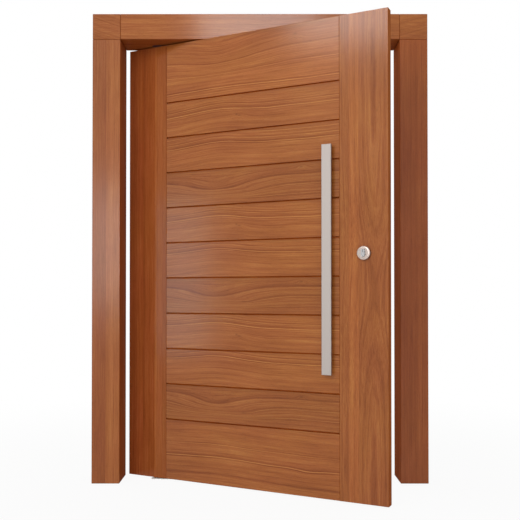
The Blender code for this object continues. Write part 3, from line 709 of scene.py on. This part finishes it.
def brushed_steel(name, place, colour, roughness, face=1.0, wall=1.0):
    """Satin brushed steel, its marks along the X axis of its place: a grey with faint long streaks.

    A turned piece has a bright polished rim between its face, which is duller, and its wall, darkened as
    painted shade.
    """
    material, tree = new_material(name)
    source = add_node(tree, "ShaderNodeTexCoord")
    metal = own_axes(tree, source, place)
    space = add_node(tree, "ShaderNodeVectorMath", (
        (0, metal), (1, (1 / BRUSH_MARK_LENGTH, 1 / BRUSH_MARK_WIDTH, 1 / BRUSH_MARK_WIDTH)),
    ), operation="MULTIPLY").outputs["Vector"]
    marks = add_node(tree, "ShaderNodeTexNoise", (
        ("Vector", space), ("Scale", 1.0), ("Detail", 2.0),
    ), noise_dimensions="3D").outputs["Fac"]
    brightness = add_node(tree, "ShaderNodeMapRange", (
        ("Value", marks), ("From Min", NOISE_LOW), ("From Max", NOISE_HIGH),
        ("To Min", DARK_BRUSH_MARK), ("To Max", PALE_BRUSH_MARK),
    )).outputs["Result"]
    # Face and rim are the real polish; the darker wall is painted shade
    if face != 1 or wall != 1:
        polish_and_shade = add_node(tree, "ShaderNodeValToRGB", (("Fac", facing(tree, source, place)),))
        polish_and_shade.color_ramp.elements[0].position = WALL_END
        polish_and_shade.color_ramp.elements[0].color = (wall, wall, wall, 1)
        polish_and_shade.color_ramp.elements[1].position = FACE_START
        polish_and_shade.color_ramp.elements[1].color = (face, face, face, 1)
        polish_and_shade.color_ramp.elements.new(RIM_START).color = (1, 1, 1, 1)
        polish_and_shade.color_ramp.elements.new(RIM_END).color = (1, 1, 1, 1)
        brightness = add_node(tree, "ShaderNodeMath", (
            (0, brightness), (1, polish_and_shade.outputs["Color"]),
        ), operation="MULTIPLY").outputs["Value"]
    tone = add_node(tree, "ShaderNodeVectorMath", (
        (0, to_linear(colour)[:3]), ("Scale", brightness),
    ), operation="SCALE").outputs["Vector"]
    rough = add_node(tree, "ShaderNodeMapRange", (
        ("Value", marks), ("From Min", NOISE_LOW), ("From Max", NOISE_HIGH),
        ("To Min", roughness - BRUSHED_SPREAD), ("To Max", roughness + BRUSHED_SPREAD),
    )).outputs["Result"]
    bump = add_node(tree, "ShaderNodeBump", (
        ("Height", marks), ("Strength", BRUSHED_BUMP), ("Distance", BRUSHED_RELIEF),
    )).outputs["Normal"]
    shader = add_node(tree, "ShaderNodeBsdfPrincipled", (
        ("Base Color", tone), ("Metallic", 1.0), ("Roughness", rough), ("Normal", bump),
    ))
    add_node(tree, "ShaderNodeOutputMaterial", (("Surface", shader.outputs["BSDF"]),))
    return material


def finish_steel():
    """The fittings; gives back the cylinder's metal, and each pivot plate's for its screws."""
    upright = LEAF_AXES @ ALONG_Z
    # Stainless steel brushed along the bar: a warm dull grey without a sharp reflection
    bar = brushed_steel("bar_satin_stainless_steel", upright, "B1A7A1", roughness=0.58)
    # Turned brass, nickel plated and satin: a duller face and a bright ring, and its wall darkened as painted
    # shade
    rosette = brushed_steel("rosette_satin_nickel", upright, "D8C6BC", roughness=0.3, face=0.60, wall=0.35)
    # The same plating on the cylinder: cooler and a little darker than its rosette; its walls and the plugs'
    # keyway walls darkened as painted shade
    cylinder = brushed_steel("cylinder_satin_nickel", upright, "A2A0A0", roughness=0.3, wall=0.25)
    # Bead blasted stainless steel: pale and matt, so that it is lost on the floor
    floor_pivot = brushed_steel("floor_pivot_blasted_steel", FRAME_AXES, "EEECE8", roughness=0.85)
    # Steel coloured as dark and warm as the shade under the head: painted shade
    pivot = brushed_steel("pivot_steel_in_painted_shade", FRAME_AXES, "7A3018", roughness=0.60)
    # The last word that a node's name holds counts
    finishes = {
        "handle": bar, "rosette": rosette, "cylinder": cylinder, "pivot": pivot, "floor_pivot": floor_pivot,
    }
    for node in frame["nodes"]:
        for word, material in finishes.items():
            if word in node:
                dress(node, material)
    return cylinder, {"floor_pivot_plate": floor_pivot, "head_pivot_plate": pivot}


# Small pieces

SCREW_SPACING = 76 * MM
SCREW_SEGMENTS = 24
SCREW_HEAD_RADIUS = 4.3 * MM
SCREW_NECK_RADIUS = 2.3 * MM
SCREW_HEAD_HEIGHT = 1.8 * MM
SCREW_SOCKET_RADIUS = 1.5 * MM  # to a flat of its hexagon
SCREW_SOCKET_DEPTH = 1.1 * MM
HEXAGON_SIDE = math.radians(60)
PLUG_SEGMENTS = 32
PLUG_RADIUS = 6.5 * MM
PLUG_PROUD = 0.5 * MM
PLUG_RISE = 8 * MM  # from the lock's middle to the plug's
KEYWAY_WIDTH = 2.2 * MM
KEYWAY_HEIGHT = 9 * MM
FINE_BEVEL = 0.15 * MM


def new_piece(name, bm, place, material, body):
    """A mesh moved to its place, riding on a body."""
    bmesh.ops.recalc_face_normals(bm, faces=bm.faces)
    mesh = bpy.data.meshes.new(name)
    bm.to_mesh(mesh)
    bm.free()
    mesh.transform(place)
    mesh.materials.append(material)
    piece = bpy.data.objects.new(name, mesh)
    bpy.context.scene.collection.objects.link(piece)
    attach(piece, body)


def bevel_rim(bm, rim):
    """A fine round on the rim of a turned piece."""
    bmesh.ops.bevel(bm, geom=rim, affect="EDGES", offset=FINE_BEVEL, segments=2, profile=0.5, material=-1)


def screw_bmesh():
    """A countersunk screw head with a hexagon socket, its top at height 0."""
    bm = bmesh.new()
    bmesh.ops.create_cone(
        bm, cap_ends=True, segments=SCREW_SEGMENTS,
        radius1=SCREW_NECK_RADIUS, radius2=SCREW_HEAD_RADIUS, depth=SCREW_HEAD_HEIGHT,
    )
    bmesh.ops.translate(bm, vec=(0, 0, -SCREW_HEAD_HEIGHT / 2), verts=bm.verts)
    top = max(bm.faces, key=lambda face: face.calc_center_median().z)
    rim = list(top.edges)
    bmesh.ops.inset_region(bm, faces=[top], thickness=SCREW_HEAD_RADIUS / 2, use_even_offset=True)
    for vert in top.verts:  # the inner ring takes the hexagon's outline
        from_flat = math.atan2(vert.co.y, vert.co.x) % HEXAGON_SIDE - HEXAGON_SIDE / 2
        vert.co.xy = vert.co.xy.normalized() * (SCREW_SOCKET_RADIUS / math.cos(from_flat))
    floor = bmesh.ops.extrude_discrete_faces(bm, faces=[top])["faces"][0]
    bmesh.ops.translate(bm, vec=(0, 0, -SCREW_SOCKET_DEPTH), verts=floor.verts)
    bevel_rim(bm, rim)
    return bm


def build_screws(metals):
    """The screws that hold the two pivot plates, their heads level with the plates' faces."""
    for plate, upwards in (("floor_pivot_plate", True), ("head_pivot_plate", False)):
        low, high = (Vector(corner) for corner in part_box(plate))
        middle = (low + high) / 2
        face = high.z if upwards else low.z
        for side, reach in (("left", -SCREW_SPACING / 2), ("right", SCREW_SPACING / 2)):
            place = Matrix.Translation((middle.x + reach, middle.y, face))
            if not upwards:
                place = place @ Matrix.Rotation(math.pi, 4, "X")
            new_piece(f"{plate}_{side}_screw", screw_bmesh(), place, metals[plate], "frame")


def plug_bmesh():
    """A disc with the keyway through it, from height 0 to its face."""
    bm = bmesh.new()
    bmesh.ops.create_circle(bm, segments=PLUG_SEGMENTS, radius=PLUG_RADIUS)
    keyway = bmesh.ops.create_circle(bm, segments=PLUG_SEGMENTS, radius=KEYWAY_WIDTH / 2)["verts"]
    stretch = (KEYWAY_HEIGHT - KEYWAY_WIDTH) / 2
    for vert in keyway:
        if abs(vert.co.y) > FINE_BEVEL / 10:  # those level with its middle stay
            vert.co.y += math.copysign(stretch, vert.co.y)
    disc = bmesh.ops.bridge_loops(bm, edges=bm.edges[:])["faces"]
    raised = bmesh.ops.extrude_face_region(bm, geom=disc)["geom"]
    verts = [item for item in raised if isinstance(item, bmesh.types.BMVert)]
    bmesh.ops.translate(bm, vec=(0, 0, PLUG_PROUD), verts=verts)
    edges = [edge for edge in bm.edges if min(vert.co.z for vert in edge.verts) > PLUG_PROUD / 2]
    outside = PLUG_RADIUS - FINE_BEVEL
    bevel_rim(bm, [edge for edge in edges if min(vert.co.xy.length for vert in edge.verts) > outside])
    return bm


def build_lock_plugs(metal):
    """The turning core that takes the key, on each face of the lock cylinder."""
    low, high = local_box("lock_cylinder", LEAF_AXES)
    middle = (low + high) / 2
    for side, face, turn in (("front", low.y, 90), ("back", high.y, -90)):
        at = Matrix.Translation((middle.x, face, middle.z + PLUG_RISE))
        place = LEAF_AXES @ at @ Matrix.Rotation(math.radians(turn), 4, "X")
        new_piece(f"{side}_lock_plug", plug_bmesh(), place, metal, "leaf")


# Studio

WHITE = "FFFFFF"
PAPER_WHITE = "D2D1CF"
PAPER_ROUGHNESS = 0.9
FLOOR_RADIUS = 60.0
FLOOR_SEGMENTS = 64
FLOOR_MIDDLE = (0.73, -0.2, 0.0)  # under the door
FADE_START, FADE_END = 1.0, 3.5  # how far from there the paper fades to plain white
PAPER_FADED = 0.93  # how much of it is plain white already under the door, which leaves a faint shadow
WORLD_LIGHT = 0.76
DOOR_MIDDLE = Vector((0.75, -0.2, 1.1))
SHEEN_BLUE = (0.4, 0.8, 1.0)  # linear; over reddish wood it makes the grey sheen of the photo

# The camera, solved from the edges of the frame and the leaf in the photo
CAMERA_AT = (0.7351, -3.5810, 0.9007)
CAMERA_TILT = math.radians(90.725)  # from straight down
CAMERA_PAN = math.radians(0.042)
CAMERA_LENS = 50.97  # mm
CAMERA_SENSOR = 36  # mm wide
CAMERA_RISE = 0.0464  # in widths of the picture
CAMERA_REACH = 200


def seen_directly(tree):
    """1 where a ray comes from the camera, or from it by way of a gloss or a glass, and else 0."""
    path = add_node(tree, "ShaderNodeLightPath")
    seen = path.outputs["Is Camera Ray"]
    for other in ("Is Glossy Ray", "Is Transmission Ray"):
        seen = add_node(tree, "ShaderNodeMath", (
            (0, seen), (1, path.outputs[other]),
        ), operation="MAXIMUM").outputs["Value"]
    return seen


def build_floor():
    """Matt white paper that keeps the door's shadow and fades to the plain white behind it."""
    bm = bmesh.new()
    bmesh.ops.create_circle(bm, cap_ends=True, segments=FLOOR_SEGMENTS, radius=FLOOR_RADIUS)
    mesh = bpy.data.meshes.new("studio_floor")
    bm.to_mesh(mesh)
    bm.free()
    floor = bpy.data.objects.new("studio_floor", mesh)
    bpy.context.scene.collection.objects.link(floor)
    material, tree = new_material("matt_white_paper")
    coords = add_node(tree, "ShaderNodeTexCoord").outputs["Object"]
    distance = add_node(tree, "ShaderNodeVectorMath", (
        (0, coords), (1, FLOOR_MIDDLE),
    ), operation="DISTANCE").outputs["Value"]
    fade = add_node(tree, "ShaderNodeMapRange", (
        ("Value", distance), ("From Min", FADE_START), ("From Max", FADE_END),
        ("To Min", PAPER_FADED), ("To Max", 1.0),
    ), interpolation_type="SMOOTHSTEP").outputs["Result"]
    fade = add_node(tree, "ShaderNodeMath", (
        (0, seen_directly(tree)), (1, fade),
    ), operation="MULTIPLY").outputs["Value"]
    white = add_node(tree, "ShaderNodeEmission", (("Color", to_linear(WHITE)), ("Strength", 1.0)))
    paper = add_node(tree, "ShaderNodeBsdfPrincipled", (
        ("Base Color", to_linear(PAPER_WHITE)), ("Roughness", PAPER_ROUGHNESS),
    ))
    mix = add_node(tree, "ShaderNodeMixShader", (
        (0, fade), (1, paper.outputs["BSDF"]), (2, white.outputs["Emission"]),
    ))
    add_node(tree, "ShaderNodeOutputMaterial", (("Surface", mix.outputs["Shader"]),))
    mesh.materials.append(material)


def build_world():
    """Soft grey light all round, seen as plain white by the camera and in reflections."""
    world = bpy.data.worlds.new("studio")
    bpy.context.scene.world = world
    world.use_nodes = True
    tree = world.node_tree
    strength = add_node(tree, "ShaderNodeMapRange", (
        ("Value", seen_directly(tree)), ("To Min", WORLD_LIGHT), ("To Max", 1.0),
    )).outputs["Result"]
    background = tree.nodes["Background"]
    background.inputs["Color"].default_value = to_linear(WHITE)
    tree.links.new(strength, background.inputs["Strength"])


def add_softbox(name, at, target, size, power):
    """A rectangular lamp of some watts that faces its target."""
    light = bpy.data.lights.new(name, "AREA")
    light.shape = "RECTANGLE"
    light.size, light.size_y = size
    light.energy = power
    lamp = bpy.data.objects.new(name, light)
    lamp.location = at
    lamp.rotation_euler = (Vector(target) - Vector(at)).to_track_quat("-Z", "Y").to_euler()
    lamp.visible_camera = False
    bpy.context.scene.collection.objects.link(lamp)
    return lamp


def direction(left, up):
    """Unit vector from the door towards the front, turned to the left and up, in degrees."""
    left, up = math.radians(left), math.radians(up)
    return Vector((-math.sin(left) * math.cos(up), -math.cos(left) * math.cos(up), math.sin(up)))


def build_lights():
    """Two softboxes that light the door and don't mirror in it, and four that only mirror in its varnish."""
    key_at = DOOR_MIDDLE + 5 * direction(left=35, up=26)
    key = add_softbox("key_softbox", key_at, DOOR_MIDDLE, size=(2.6, 2.6), power=65)
    front_at = DOOR_MIDDLE + 8.0 * direction(left=0, up=5)
    front = add_softbox("front_fill", front_at, DOOR_MIDDLE, size=(4.0, 3.0), power=50)
    for lamp in (key, front):
        lamp.visible_glossy = False
    # The sheen on the head's middle, the left jamb, the leaf's top right and the boards' left ends
    head = add_softbox("head_sheen", (0.71, -3.8, 3.57), (0.71, 0, 2.1), size=(1.18, 0.8), power=31)
    jamb = add_softbox("jamb_sheen", (-0.73, -3.8, 1.36), (0, 0, 1.1), size=(0.5, 1.15), power=17)
    corner = add_softbox("corner_sheen", (-3.55, -5.1, 4.85), (1.2, -0.5, 2.1), size=(1.5, 1.1), power=58)
    boards = add_softbox("boards_sheen", (-5.55, -3.75, 1.15), (0.4, -0.1, 1.0), size=(0.8, 2.2), power=20)
    boards.data.color = SHEEN_BLUE
    for lamp in (head, jamb, corner, boards):
        lamp.visible_diffuse = False


def build_camera():
    """A camera at the photo's viewpoint."""
    camera = bpy.data.cameras.new("photo_camera")
    camera.sensor_width = CAMERA_SENSOR
    camera.lens = CAMERA_LENS
    camera.shift_y = CAMERA_RISE
    camera.clip_end = CAMERA_REACH
    view = bpy.data.objects.new("photo_camera", camera)
    view.location = CAMERA_AT
    view.rotation_euler = (CAMERA_TILT, 0, CAMERA_PAN)
    bpy.context.scene.collection.objects.link(view)
    bpy.context.scene.camera = view


finish_timbers()
cylinder_nickel, plate_steels = finish_steel()
build_screws(plate_steels)
build_lock_plugs(cylinder_nickel)
build_floor()
build_world()
build_lights()
build_camera()
bpy.context.scene.view_settings.view_transform = "Standard"
